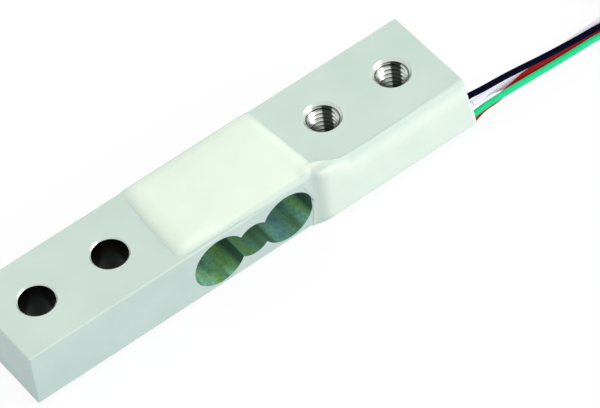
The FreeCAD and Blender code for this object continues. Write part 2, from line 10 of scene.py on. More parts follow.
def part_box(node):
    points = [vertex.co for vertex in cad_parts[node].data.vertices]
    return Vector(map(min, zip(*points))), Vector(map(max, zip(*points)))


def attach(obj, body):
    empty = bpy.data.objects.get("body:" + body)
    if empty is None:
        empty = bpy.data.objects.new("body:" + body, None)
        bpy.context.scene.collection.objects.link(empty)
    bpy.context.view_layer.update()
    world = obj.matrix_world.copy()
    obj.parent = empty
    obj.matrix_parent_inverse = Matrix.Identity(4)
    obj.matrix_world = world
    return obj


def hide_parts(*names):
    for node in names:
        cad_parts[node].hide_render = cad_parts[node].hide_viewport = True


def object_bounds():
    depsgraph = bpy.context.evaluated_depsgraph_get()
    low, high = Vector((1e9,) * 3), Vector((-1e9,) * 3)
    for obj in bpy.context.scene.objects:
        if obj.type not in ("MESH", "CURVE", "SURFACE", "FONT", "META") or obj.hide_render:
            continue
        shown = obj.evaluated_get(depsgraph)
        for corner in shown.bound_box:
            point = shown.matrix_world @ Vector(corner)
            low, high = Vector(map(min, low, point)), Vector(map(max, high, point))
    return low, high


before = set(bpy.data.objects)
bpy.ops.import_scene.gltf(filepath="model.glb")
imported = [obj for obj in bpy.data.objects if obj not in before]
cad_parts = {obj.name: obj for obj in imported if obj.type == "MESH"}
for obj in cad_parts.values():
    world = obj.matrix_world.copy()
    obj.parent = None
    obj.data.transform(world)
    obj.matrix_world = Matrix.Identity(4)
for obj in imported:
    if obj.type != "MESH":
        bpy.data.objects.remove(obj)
cadLow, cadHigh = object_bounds()
print("frame loaded:", len(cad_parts), "nodes")

mm = 0.001
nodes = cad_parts
barLow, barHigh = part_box("beam_body")
barTop = barHigh.z
nearSide = barLow.y


cameraSetup = {
    "place": (-0.14637, -0.25985, 0.36394),
    "aim": (0.00496, -0.00905, 0.00926),
    "roll": -7.991,
    "lens": 247.11,
    "sensor": 36,
    "clip": (0.01, 5),
}


def addCamera(setup):
    place, aim = Vector(setup["place"]), Vector(setup["aim"])
    bpy.ops.object.camera_add(location=place)
    camera = bpy.context.object
    camera.name = "studioCamera"
    ahead = (aim - place).to_track_quat("-Z", "Y")
    turn = Quaternion((0, 0, 1), math.radians(setup["roll"]))
    camera.rotation_mode = "QUATERNION"
    camera.rotation_quaternion = ahead @ turn
    camera.data.lens = setup["lens"]
    camera.data.sensor_width = setup["sensor"]
    camera.data.clip_start, camera.data.clip_end = setup["clip"]
    bpy.context.scene.camera = camera


addCamera(cameraSetup)
print("camera placed")


def calm():
    # Leaves nothing selected, so that an operator acts only on what is added next.
    if bpy.context.object and bpy.context.object.mode != "OBJECT":
        bpy.ops.object.mode_set(mode="OBJECT")
    bpy.ops.object.select_all(action="DESELECT")


def newMaterial(name, color, roughness=0.5, metallic=0.0):
    material = bpy.data.materials.new(name)
    material.use_nodes = True
    shader = material.node_tree.nodes["Principled BSDF"]
    shader.inputs["Base Color"].default_value = (*color, 1)
    shader.inputs["Roughness"].default_value = roughness
    shader.inputs["Metallic"].default_value = metallic
    return material


def addNode(material, kind, **settings):
    node = material.node_tree.nodes.new(kind)
    for name, value in settings.items():
        if name in node.inputs:
            node.inputs[name].default_value = value
        else:
            setattr(node, name, value)
    return node


def join(material, source, target):
    material.node_tree.links.new(source, target)


def placeOnObject(material, stretch=(1, 1, 1)):
    # Object coordinates, stretched so that a pattern can run along one axis.
    coordinates = addNode(material, "ShaderNodeTexCoord")
    mapping = addNode(material, "ShaderNodeMapping")
    mapping.inputs["Scale"].default_value = stretch
    join(material, coordinates.outputs["Object"], mapping.inputs["Vector"])
    return mapping.outputs["Vector"]


def noise(material, vector, scale, detail=3.0):
    texture = addNode(material, "ShaderNodeTexNoise", Scale=scale, Detail=detail)
    join(material, vector, texture.inputs["Vector"])
    return texture.outputs["Fac"]


def rescale(material, value, fromLow, fromHigh, toLow, toHigh):
    ramp = addNode(material, "ShaderNodeMapRange")
    for name, number in (("From Min", fromLow), ("From Max", fromHigh),
                         ("To Min", toLow), ("To Max", toHigh)):
        ramp.inputs[name].default_value = number
    join(material, value, ramp.inputs["Value"])
    return ramp.outputs["Result"]


def spread(material, value, low, high):
    # Brings the middle of a value's range, where noise mostly lies, to the range from low to high.
    return rescale(material, value, 0.3, 0.7, low, high)


def patches(material, vector, layer):
    # Uneven values. The layer gives the noise's scale and detail, and the range that they fill.
    scale, detail, low, high = layer
    return spread(material, noise(material, vector, scale, detail=detail), low, high)


def blendColors(material, factor, first, second):
    mix = addNode(material, "ShaderNodeMix", data_type="RGBA")
    join(material, factor, mix.inputs["Factor"])
    for socket, color in ((mix.inputs[6], first), (mix.inputs[7], second)):
        if isinstance(color, tuple):
            socket.default_value = (*color, 1)
        else:
            join(material, color, socket)
    return mix.outputs[2]


def roughen(material, height, strength, distance):
    bump = addNode(material, "ShaderNodeBump", Strength=strength, Distance=distance)
    join(material, height, bump.inputs["Height"])
    join(material, bump.outputs["Normal"], shaderOf(material).inputs["Normal"])


def shaderOf(material):
    return material.node_tree.nodes["Principled BSDF"]


def dress(piece, material):
    piece.data.materials.clear()
    piece.data.materials.append(material)


leadSetup = {
    "diameter": 0.75 * mm,
    "turns": 3.5,
    "pointsPerHalf": 9,
    "outer": 4.9 * mm,
    "inner": 2.25 * mm,
    "runStart": 59.7 * mm,
    "runEnd": 72.7 * mm,
    "middle": -1.5 * mm,
    "tieLift": 0.3 * mm,
    "tipEnd": (69.2 * mm, 0.175 * mm),
    "tipApproach": (1.6 * mm, 0.25 * mm),
}

# Each lead's points from its place on the end of the side coat to its layer of the hank.
leadRoutes = {
    "green": [(0.0310, -0.006775, 0.0021), (0.0320, -0.00685, 0.00256), (0.0356, -0.0071, 0.00285),
              (0.0405, -0.00705, 0.00248), (0.0455, -0.0070, 0.00208), (0.0500, -0.0070, 0.00203),
              (0.0532, -0.00675, 0.00072), (0.0567, -0.0064, 0.000675)],
    "red": [(0.0310, -0.006775, 0.00125), (0.0326, -0.0063, 0.0015), (0.0348, -0.00615, 0.0012),
            (0.0372, -0.00615, 0.00186), (0.0400, -0.0062, 0.00275), (0.0450, -0.00615, 0.00183),
            (0.0500, -0.0060, 0.0012), (0.0532, -0.00605, 0.00146), (0.0567, -0.0064, 0.001425)],
    "black": [(0.0310, -0.006775, 0.0058), (0.0324, -0.0068, 0.00555), (0.0364, -0.0069, 0.00533),
              (0.0415, -0.0069, 0.00438), (0.0465, -0.0069, 0.00372), (0.0504, -0.0068, 0.0033),
              (0.0534, -0.00655, 0.0022), (0.0567, -0.0064, 0.002175)],
    "white": [(0.0310, -0.006775, 0.0042), (0.0323, -0.00655, 0.00375), (0.0346, -0.0053, 0.0023),
              (0.0368, -0.00505, 0.0012), (0.0405, -0.0051, 0.00145), (0.0455, -0.0052, 0.0016),
              (0.0500, -0.0054, 0.00225), (0.0532, -0.00593, 0.0030), (0.0567, -0.0064, 0.002925)],
}

leadColors = {
    "green": ((0.012, 0.60, 0.22), (0.03, 0.78, 0.34)),
    "red": ((0.26, 0.002, 0.002), (0.42, 0.006, 0.004)),
    "black": ((0.0005, 0.0005, 0.008), (0.0015, 0.0015, 0.018)),
    "white": ((0.80, 0.78, 0.87), (0.90, 0.88, 0.94)),
}
leadGloss = {"green": 0.12, "red": 0.1, "black": 0.02, "white": 0.12}
leadSkin = {
    "stretch": (0.25, 1, 1), "streakScale": 2600, "streakDetail": 4,
    "roughLayer": (5200, 3, 0.42, 0.58),
    "bumpScale": 3800, "bumpDetail": 5, "bump": 0.12, "bumpDepth": 0.02 * mm,
}


def hankTurns(height):
    # Points of a flat racetrack that winds inwards, one half circle and one run at a time.
    halves = int(2 * leadSetup["turns"])
    count = leadSetup["pointsPerHalf"]
    step = (leadSetup["outer"] - leadSetup["inner"]) / halves
    points = [(leadSetup["runStart"], leadSetup["middle"] - leadSetup["outer"], height)]
    for half in range(halves):
        right = half % 2 == 0
        centre = leadSetup["runEnd"] if right else leadSetup["runStart"]
        for index in range(count + 1):
            turned = index / count
            radius = leadSetup["outer"] - step * (half + turned)
            angle = math.pi * (turned - 0.5 if right else turned + 0.5)
            points.append((centre + radius * math.cos(angle),
                           leadSetup["middle"] + radius * math.sin(angle), height))
    return points


def leadMaterial(colour):
    dark, light = leadColors[colour]
    skin = leadSkin
    material = newMaterial(colour + "Insulation", light)
    shader = shaderOf(material)
    shader.inputs["Specular IOR Level"].default_value = leadGloss[colour]
    vector = placeOnObject(material, skin["stretch"])
    streaks = noise(material, vector, skin["streakScale"], detail=skin["streakDetail"])
    join(material, blendColors(material, streaks, dark, light), shader.inputs["Base Color"])
    join(material, patches(material, vector, skin["roughLayer"]), shader.inputs["Roughness"])
    grain = noise(material, vector, skin["bumpScale"], detail=skin["bumpDetail"])
    roughen(material, grain, skin["bump"], skin["bumpDepth"])
    return material


def addLead(colour, layerIndex):
    height = leadSetup["tieLift"] + (layerIndex + 0.5) * leadSetup["diameter"]
    route = leadRoutes[colour] + hankTurns(height)
    tipX, tipY = leadSetup["tipEnd"]
    backX, backY = leadSetup["tipApproach"]
    route += [(tipX + backX, tipY + backY, height), (tipX, tipY, height)]
    calm()
    curve = bpy.data.curves.new(colour + "Lead", "CURVE")
    curve.dimensions = "3D"
    spline = curve.splines.new("NURBS")
    spline.points.add(len(route) - 1)
    for point, place in zip(spline.points, route):
        point.co = (*place, 1)
    # Set once the points are there, because before them the order falls back to straight runs.
    spline.order_u = 3
    spline.use_endpoint_u = True
    spline.resolution_u = 4
    curve.bevel_depth = leadSetup["diameter"] / 2
    curve.bevel_resolution = 4
    curve.use_fill_caps = True
    lead = bpy.data.objects.new(colour + "Lead", curve)
    bpy.context.collection.objects.link(lead)
    dress(lead, leadMaterial(colour))
    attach(lead, "root")
    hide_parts("lead_" + colour)
    return lead


leads = {}
for layerIndex, colour in enumerate(leadRoutes):
    leads[colour] = addLead(colour, layerIndex)
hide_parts("lead_hank")
print("leads routed")


barFinish = {
    "blasted": (0.60, 0.72, 0.645), "blastedShade": (0.55, 0.675, 0.60),
    # The holes' inner colour is painted shade.
    "holeShade": (0.004, 0.009, 0.006), "mouth": (0.72, 0.81, 0.73),
    "plainRadius": 2.15 * mm, "threadRadius": 2.0 * mm, "mouthRadius": 2.35 * mm,
    "plainPlaces": (-25 * mm, -15 * mm), "threadPlaces": (15 * mm, 25 * mm),
    "gloss": 0.3, "grainScale": 9000, "grainDetail": 2, "cloudLayer": (160, 3, 0, 1),
    "metal": 0.08, "mouthMetal": 0.7, "roughness": (0.5, 0.68), "mouthRoughness": 0.25,
    "bump": 0.18, "bumpDepth": 0.02 * mm,
}
boreFinish = {
    "light": (0.29, 0.70, 0.46), "olive": (0.31, 0.68, 0.18), "blue": (0.24, 0.56, 0.56),
    # The dark colour serves for stains and speckles, and for the painted shade outside each bore's
    # lit band.
    "dark": (0.05, 0.14, 0.08),
    # Each bore's place along the bar and radius, then its painted lit band's shift and strength.
    "bores": [(-4.75 * mm, 3.5 * mm, -0.5 * mm, 1), (0, 2.35 * mm, 0, 0.35),
              (4.75 * mm, 3.5 * mm, 0.9 * mm, 1)],
    "litBandReach": 1.5 * mm, "litBandFade": 2.6 * mm,
    "stretch": (1, 0.22, 1),
    "oliveLayer": (800, 4, -0.6, 1.6), "blueLayer": (330, 2, -1.1, 1.1),
    "stainLayer": (480, 5, -0.5, 0.85), "speckleLayer": (2400, 3, -0.2, 0.42),
}
barMiddle = (barLow.z + barHigh.z) / 2


def distanceFrom(material, centre, keep):
    # Distance from an axis through the centre: keep says which axes count.
    coordinates = addNode(material, "ShaderNodeTexCoord")
    offset = addNode(material, "ShaderNodeVectorMath", operation="SUBTRACT")
    join(material, coordinates.outputs["Object"], offset.inputs[0])
    offset.inputs[1].default_value = centre
    flat = addNode(material, "ShaderNodeVectorMath", operation="MULTIPLY")
    join(material, offset.outputs[0], flat.inputs[0])
    flat.inputs[1].default_value = keep
    length = addNode(material, "ShaderNodeVectorMath", operation="LENGTH")
    join(material, flat.outputs[0], length.inputs[0])
    return length.outputs["Value"]


def within(material, distance, radius, softness=0.02 * mm):
    # 1 inside the radius, 0 outside it.
    return rescale(material, distance, radius, radius + softness, 1, 0)


def either(material, values):
    # The largest of several values.
    result = values[0]
    for value in values[1:]:
        largest = addNode(material, "ShaderNodeMath", operation="MAXIMUM")
        join(material, result, largest.inputs[0])
        join(material, value, largest.inputs[1])
        result = largest.outputs[0]
    return result


def blendNumbers(material, factor, low, high):
    # Blends from low to high; each is a number or a socket.
    blend = addNode(material, "ShaderNodeMix", data_type="FLOAT")
    join(material, factor, blend.inputs["Factor"])
    for name, value in (("A", low), ("B", high)):
        if isinstance(value, (int, float)):
            blend.inputs[name].default_value = value
        else:
            join(material, value, blend.inputs[name])
    return blend.outputs["Result"]


def holeMask(material, places, radius):
    return either(material, [within(material, distanceFrom(material, (x, 0, 0), (1, 1, 0)), radius)
                             for x in places])


def boreReflectionStreaks(material, fine):
    # Mottled streaks of painted reflection that run through the bar, with stains and speckles.
    run = placeOnObject(material, boreFinish["stretch"])
    streaks = boreFinish["light"]
    for vector, layer, color in ((run, "oliveLayer", "olive"), (run, "blueLayer", "blue"),
                                 (run, "stainLayer", "dark"), (fine, "speckleLayer", "dark")):
        streaks = blendColors(material, patches(material, vector, boreFinish[layer]),
                              streaks, boreFinish[color])
    return streaks


def barMaterial():
    setup = barFinish
    material = newMaterial("blastedAluminium", setup["blasted"])
    shader = shaderOf(material)
    shader.inputs["Specular IOR Level"].default_value = setup["gloss"]
    fine = placeOnObject(material)
    grain = noise(material, fine, setup["grainScale"], detail=setup["grainDetail"])
    color = blendColors(material, patches(material, fine, setup["cloudLayer"]),
                        setup["blasted"], setup["blastedShade"])

    # The reamed bores are painted dark as shade, and their streaks of painted reflection show along
    # a painted lit band near the lowest part of each.
    streaks = boreReflectionStreaks(material, fine)
    for x, radius, aside, strength in boreFinish["bores"]:
        lowest = distanceFrom(material, (x + aside, 0, barMiddle - radius), (1, 0, 1))
        band = within(material, lowest, boreFinish["litBandReach"], boreFinish["litBandFade"])
        inside = blendColors(material, spread(material, band, 0, strength),
                             boreFinish["dark"], streaks)
        mask = within(material, distanceFrom(material, (x, 0, barMiddle), (1, 0, 1)), radius)
        color = blendColors(material, mask, color, inside)

    # Drilled holes are painted near black inside as shade, and are bright at their chamfered
    # mouths.
    mouths = holeMask(material, setup["plainPlaces"] + setup["threadPlaces"], setup["mouthRadius"])
    color = blendColors(material, mouths, color, setup["mouth"])
    shadedWalls = either(material, [holeMask(material, setup["plainPlaces"], setup["plainRadius"]),
                              holeMask(material, setup["threadPlaces"], setup["threadRadius"])])
    join(material, blendColors(material, shadedWalls, color, setup["holeShade"]), shader.inputs["Base Color"])
    metal = blendNumbers(material, mouths, setup["metal"], setup["mouthMetal"])
    join(material, blendNumbers(material, shadedWalls, metal, 1), shader.inputs["Metallic"])
    roughness = spread(material, grain, *setup["roughness"])
    join(material, blendNumbers(material, mouths, roughness, setup["mouthRoughness"]),
         shader.inputs["Roughness"])
    roughen(material, grain, setup["bump"], setup["bumpDepth"])
    return material


dress(nodes["beam_body"], barMaterial())
print("bar finished")


threadSetup = {
    "major": 2.02 * mm,
    "minor": 1.66 * mm,
    "mouth": 2.37 * mm,
    "pitch": 0.7 * mm,
    "half": 0.31 * mm,
    "inset": 0.03 * mm,
    "sides": 40,
}


def addThread(name, x):
    # A V of metal is wound round the hole's axis, and the mouths' countersinks cut it back.
    setup = threadSetup
    calm()
    bpy.ops.mesh.primitive_circle_add(vertices=3, radius=0.2 * mm, fill_type="NGON")
    ridge = bpy.context.object
    ridge.name = name
    start = barLow.z + setup["half"] + setup["inset"]
    corners = ((setup["major"], -setup["half"]), (setup["minor"], 0),
               (setup["major"], setup["half"]))
    for vertex, (radius, lift) in zip(ridge.data.vertices, corners):
        vertex.co = (radius, 0, start + lift)
    bpy.ops.object.mode_set(mode="EDIT")
    bpy.ops.mesh.select_all(action="SELECT")
    bpy.ops.mesh.delete(type="ONLY_FACE")
    bpy.ops.object.mode_set(mode="OBJECT")
    screw = ridge.modifiers.new("turns", "SCREW")
    screw.axis = "Z"
    turns = (barHigh.z - barLow.z - 2 * (setup["half"] + setup["inset"])) / setup["pitch"]
    screw.iterations = 1
    screw.angle = 2 * math.pi * turns
    screw.screw_offset = setup["pitch"] * turns
    screw.steps = screw.render_steps = round(setup["sides"] * turns)
    screw.use_merge_vertices = False
    bpy.ops.object.modifier_apply(modifier="turns")
    for vertex in ridge.data.vertices:
        depth = min(barHigh.z - vertex.co.z, vertex.co.z - barLow.z)
        radius = math.hypot(vertex.co.x, vertex.co.y)
        wanted = max(radius, setup["mouth"] - depth)
        vertex.co.x *= wanted / radius
        vertex.co.y *= wanted / radius
    bpy.ops.object.mode_set(mode="EDIT")
    bpy.ops.mesh.select_all(action="DESELECT")
    bpy.ops.mesh.select_non_manifold()
    bpy.ops.mesh.edge_face_add()
    bpy.ops.mesh.select_all(action="SELECT")
    bpy.ops.mesh.normals_make_consistent(inside=False)
    bpy.ops.transform.translate(value=(x, 0, 0))
    bpy.ops.object.mode_set(mode="OBJECT")
    bpy.ops.object.shade_smooth_by_angle(angle=math.radians(35))
    dress(ridge, threadMaterial)
    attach(ridge, "root")


threadFinish = {
    # The roots and the deeper turns of the thread get painted shade.
    "crestReach": 1.74 * mm, "crestFade": 0.2 * mm, "paintedShadeLevel": 2.2 * mm, "paintedShadeFade": 4 * mm,
    "crest": (0.93, 0.98, 0.92), "deepCrest": (0.14, 0.19, 0.15),
    "root": (0.14, 0.18, 0.14), "deepRoot": (0.006, 0.012, 0.008),
    # Each streak's place from the hole's axis, its half width and how softly it fades.
    "litStreakPlace": (-0.5 * mm, 1.85 * mm), "litStreakReach": 0.8 * mm, "litStreakFade": 0.6 * mm,
    "darkReflectionPlace": (1.5 * mm, 1.17 * mm), "darkReflectionReach": 0.4 * mm, "darkReflectionFade": 0.5 * mm,
    # A painted streak of light and a painted dark reflection.
    "litStreak": (0.40, 0.45, 0.40), "darkReflection": (0.010, 0.016, 0.010), "darkReflectionStrength": 0.95,
    "stretch": (1, 1, 4), "bumpScale": 4000, "bump": 0.2, "bumpDepth": 0.02 * mm,
}


def downHoles(material, place, reach, fade):
    # 1 within reach of a line down each threaded hole, which stands at a place from its axis.
    aside, across = place
    return either(material, [
        within(material, distanceFrom(material, (x + aside, across, 0), (1, 1, 0)), reach, fade)
        for x in barFinish["threadPlaces"]])


def makeThreadMaterial():
    # Bright crests and roots darkened by painted shade, both painted darker as shade the deeper
    # they lie in the hole.
    setup = threadFinish
    material = newMaterial("cutThread", (0.5, 0.55, 0.5), roughness=0.24, metallic=0.9)
    crests = downHoles(material, (0, 0), setup["crestReach"], setup["crestFade"])
    high = within(material, distanceFrom(material, (0, 0, barTop), (0, 0, 1)),
                  setup["paintedShadeLevel"], setup["paintedShadeFade"])
    crest = blendColors(material, high, setup["deepCrest"], setup["crest"])
    root = blendColors(material, high, setup["deepRoot"], setup["root"])
    # One side gets a painted streak of light and another a painted dark reflection, all the way
    # down.
    litStreak = downHoles(material, setup["litStreakPlace"], setup["litStreakReach"], setup["litStreakFade"])
    root = blendColors(material, litStreak, root, setup["litStreak"])
    color = blendColors(material, crests, root, crest)
    darkReflection = downHoles(material, setup["darkReflectionPlace"], setup["darkReflectionReach"], setup["darkReflectionFade"])
    color = blendColors(material, spread(material, darkReflection, 0, setup["darkReflectionStrength"]),
                        color, setup["darkReflection"])
    join(material, color, shaderOf(material).inputs["Base Color"])
    grain = noise(material, placeOnObject(material, setup["stretch"]), setup["bumpScale"])
    roughen(material, grain, setup["bump"], setup["bumpDepth"])
    return material


threadMaterial = makeThreadMaterial()
for name, x in zip(("threadInner", "threadOuter"), barFinish["threadPlaces"]):
    addThread(name, x)
print("threads cut")


siliconeSetup = {
    "light": (0.80, 0.895, 0.765), "shade": (0.765, 0.865, 0.735),
    "coatLight": (0.92, 0.885, 0.79), "coatShade": (0.885, 0.86, 0.78),
    "beadClear": 0.45 * mm, "coatClear": 0.09 * mm, "clearStart": 0.005 * mm,
    "beadEdge": 0.75, "coatEdge": 0, "edgeReach": 0.1 * mm, "edgeFade": 0.9 * mm,
    "cloudLayer": (220, 3, 0, 1), "roughLayer": (700, 3, 0.44, 0.58), "gloss": 0.25,
    "glow": 0.12, "glowRadius": (0.9 * mm, 0.9 * mm, 0.8 * mm), "glowScale": 0.5,
    "bumpScale": 900, "bumpDetail": 4, "bump": 0.12, "bumpDepth": 0.06 * mm,
}


def rubberThickness(material):
    # How far a point stands out from the bar's box.
    coordinates = addNode(material, "ShaderNodeTexCoord")
    axes = addNode(material, "ShaderNodeSeparateXYZ")
    join(material, coordinates.outputs["Object"], axes.inputs[0])
    heights = []
    for axis, factor, level in (("Z", 1, -barTop), ("Z", -1, barLow.z), ("Y", -1, nearSide)):
        height = addNode(material, "ShaderNodeMath", operation="MULTIPLY_ADD")
        join(material, axes.outputs[axis], height.inputs[0])
        height.inputs[1].default_value, height.inputs[2].default_value = factor, level
        heights.append(height.outputs[0])
    return either(material, heights)


def siliconeMaterial(name, light, shade, clearBelow, clearEdge):
    # Where the rubber is thin, and along the bar's near edge, the bar shows through it.
    setup = siliconeSetup
    material = newMaterial(name, light)
    shader = shaderOf(material)
    vector = placeOnObject(material)
    rubber = blendColors(material, patches(material, vector, setup["cloudLayer"]), light, shade)
    thin = within(material, rubberThickness(material), setup["clearStart"], clearBelow)
    edge = within(material, distanceFrom(material, (0, nearSide, 0), (0, 1, 0)),
                  setup["edgeReach"], setup["edgeFade"])
    thin = either(material, [thin, spread(material, edge, 0, clearEdge)])
    join(material, blendColors(material, thin, rubber, barFinish["blasted"]),
         shader.inputs["Base Color"])
    join(material, patches(material, vector, setup["roughLayer"]), shader.inputs["Roughness"])
    shader.inputs["Specular IOR Level"].default_value = setup["gloss"]
    shader.inputs["Subsurface Weight"].default_value = setup["glow"]
    shader.inputs["Subsurface Radius"].default_value = setup["glowRadius"]
    shader.inputs["Subsurface Scale"].default_value = setup["glowScale"]
    grain = noise(material, vector, setup["bumpScale"], detail=setup["bumpDetail"])
    roughen(material, grain, setup["bump"], setup["bumpDepth"])
    return material


beadMaterial = siliconeMaterial("beadRubber", siliconeSetup["light"], siliconeSetup["shade"],
                                siliconeSetup["beadClear"], siliconeSetup["beadEdge"])
coatMaterial = siliconeMaterial("coatRubber",
                                siliconeSetup["coatLight"], siliconeSetup["coatShade"],
                                siliconeSetup["coatClear"], siliconeSetup["coatEdge"])


def along(points, place):
    # Value of a smooth line through a few points at a place along it.
    last = len(points) - 1
    index = max([i for i in range(last) if points[i][0] <= place], default=0)
    (x0, y0), (x1, y1) = points[index], points[index + 1]
    part = min(1.0, max(0.0, (place - x0) / (x1 - x0)))
    before, after = points[max(index - 1, 0)], points[min(index + 2, last)]
    slope0 = (y1 - before[1]) / (x1 - before[0]) * (x1 - x0)
    slope1 = (after[1] - y0) / (after[0] - x0) * (x1 - x0)
    square, cube = part * part, part ** 3
    return ((2 * cube - 3 * square + 1) * y0 + (cube - 2 * square + part) * slope0
            + (3 * square - 2 * cube) * y1 + (cube - square) * slope1)


def rounded(distance, radius):
    # Height of a quarter-round edge, as a share of its full height.
    return math.sqrt(max(0.0, 1 - (1 - min(1.0, distance / radius)) ** 2))


def wobble(x, y, seed, amount, size):
    # A slow unevenness, as rubber spread by hand has.
    return amount * mathutils.noise.noise(Vector((x / size, y / size, seed)))


def mouldedGrid(name, countX, countY, place):
    # A grid whose points are pushed into shape; place turns two fractions into a point.
    calm()
    bpy.ops.mesh.primitive_grid_add(x_subdivisions=countX, y_subdivisions=countY, size=1)
    piece = bpy.context.object
    piece.name = name
    for vertex in piece.data.vertices:
        vertex.co = place(vertex.co.x + 0.5, vertex.co.y + 0.5)
    return piece


def closeBelow(level, direction):
    # Carries the grid's border down to a flat face.
    bpy.ops.object.mode_set(mode="EDIT")
    bpy.ops.mesh.select_all(action="SELECT")
    bpy.ops.mesh.region_to_loop()
    bpy.ops.mesh.extrude_region_move(TRANSFORM_OT_translate={"value": (0, 0, direction * mm)})
    bpy.ops.object.mode_set(mode="OBJECT")
    piece = bpy.context.object
    for vertex in piece.data.vertices:
        if vertex.select:
            vertex.co.z = level
    bpy.ops.object.mode_set(mode="EDIT")
    bpy.ops.mesh.edge_face_add()
    bpy.ops.mesh.select_all(action="SELECT")
    bpy.ops.mesh.remove_doubles(threshold=0.001 * mm)
    bpy.ops.mesh.normals_make_consistent(inside=False)
    bpy.ops.object.mode_set(mode="OBJECT")
    bpy.ops.object.shade_smooth_by_angle(angle=math.radians(60))


def eased(part):
    # Crowds a grid's lines towards its borders, where the rubber curves most.
    return 0.5 - 0.5 * math.cos(math.pi * part)


def soften(piece, rounds, group=""):
    smooth = piece.modifiers.new("soften", "SMOOTH")
    smooth.vertex_group = group
    smooth.factor = 0.5
    smooth.iterations = rounds
    bpy.ops.object.modifier_apply(modifier="soften")
    bpy.ops.object.shade_smooth_by_angle(angle=math.radians(60))


# A bead stands at least this high, so that its border doesn't fold flat on its base.
thinnestRubber = 0.004 * mm
topBeadSetup = {
    "grid": (72, 56), "sink": 0.03 * mm,
    "crown": 0.95 * mm, "crownPlace": -1.2 * mm,
    # How far the crown falls to the near edge, and to the ends at half its length.
    "nearFall": 0.35 * mm, "endFall": 0.3 * mm, "halfLength": 9 * mm,
    "nearRound": 0.7 * mm, "farRound": 0.35 * mm, "leftRound": 2.2 * mm, "rightRound": 1.5 * mm,
    "near": [(-9 * mm, -5.85 * mm), (-3 * mm, -6.0 * mm), (0, -6.2 * mm),
             (5 * mm, -6.33 * mm), (9.2 * mm, -6.34 * mm)],
    # Place, reach and height of the swelling where the wires leave the bead.
    "swelling": (8.6 * mm, -5.9 * mm, 1.4 * mm, 0.45 * mm),
    # How gently the near edge rises: steeply over the wires, slowly where there are none.
    "nearSoft": [(-9 * mm, 1), (-4 * mm, 1), (-2 * mm, 0), (9 * mm, 0)],
    "left": [(0.0, -9.75 * mm), (0.5, -9.6 * mm), (1.0, -9.05 * mm)],
    "right": [(0.0, 9.4 * mm), (0.1, 9.7 * mm), (0.3, 9.7 * mm), (0.6, 9.35 * mm), (1.0, 9.0 * mm)],
    # Seed, amount and size of each unevenness.
    "nearWobble": (9.0, 0.06 * mm, 3 * mm), "endWobble": (1.5, 0.1 * mm, 2.5 * mm),
    "crownWobble": (4.0, 0.03 * mm, 3.5 * mm),
}


def topBeadPoint(u, v):
    setup = topBeadSetup
    u, v = eased(u), eased(v)
    left, right = along(setup["left"], v), along(setup["right"], v)
    x = left + (right - left) * u
    near = along(setup["near"], x) + wobble(x, 0, *setup["nearWobble"])
    near = max(near, barLow.y)
    y = near + (barHigh.y - near) * v
    uneven = wobble(x, y, *setup["endWobble"]) * abs(2 * u - 1) ** 8
    ends = (rounded(x - left, setup["leftRound"]) * rounded(right - x, setup["rightRound"])) ** 2
    x += uneven
    across = setup["nearFall"] * ((y - setup["crownPlace"]) / (barLow.y - setup["crownPlace"])) ** 2
    lengthways = setup["endFall"] * (x / setup["halfLength"]) ** 2
    fall = (across ** 4 + lengthways ** 4) ** 0.25
    height = setup["crown"] - fall + wobble(x, y, *setup["crownWobble"])
    swellX, swellY, reach, swellHeight = setup["swelling"]
    height += swellHeight * max(0.0, 1 - math.hypot(x - swellX, y - swellY) / reach)
    soft = along(setup["nearSoft"], x)
    height *= ends * rounded(y - near, setup["nearRound"] * (1 + soft)) ** (1 + soft)
    height *= rounded(barHigh.y - y, setup["farRound"])
    return x, y, barTop + max(height, thinnestRubber)


topBead = mouldedGrid("topBead", *topBeadSetup["grid"], topBeadPoint)
closeBelow(barTop - topBeadSetup["sink"], -1)
dress(topBead, beadMaterial)


undersideSetup = {
    "grid": (48, 36), "reach": 9.0 * mm, "width": 6.2 * mm, "depth": 0.5 * mm,
    "endWobble": (7.0, 0.1 * mm, 2.5 * mm),
}


def undersidePoint(u, v):
    setup = undersideSetup
    u, v = eased(u), eased(v)
    x = setup["reach"] * (2 * u - 1)
    y = setup["width"] * (2 * v - 1)
    x += wobble(x, y, *setup["endWobble"]) * abs(2 * u - 1) ** 6
    rounding = max(0.0, (1 - abs(2 * u - 1) ** 12) * (1 - abs(2 * v - 1) ** 8)) ** 0.5
    return x, y, barLow.z - max(setup["depth"] * rounding, thinnestRubber)


undersideBead = mouldedGrid("undersideBead", *undersideSetup["grid"], undersidePoint)
closeBelow(barLow.z, 1)
dress(undersideBead, beadMaterial)
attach(undersideBead, "root")
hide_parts("underside_sealant")


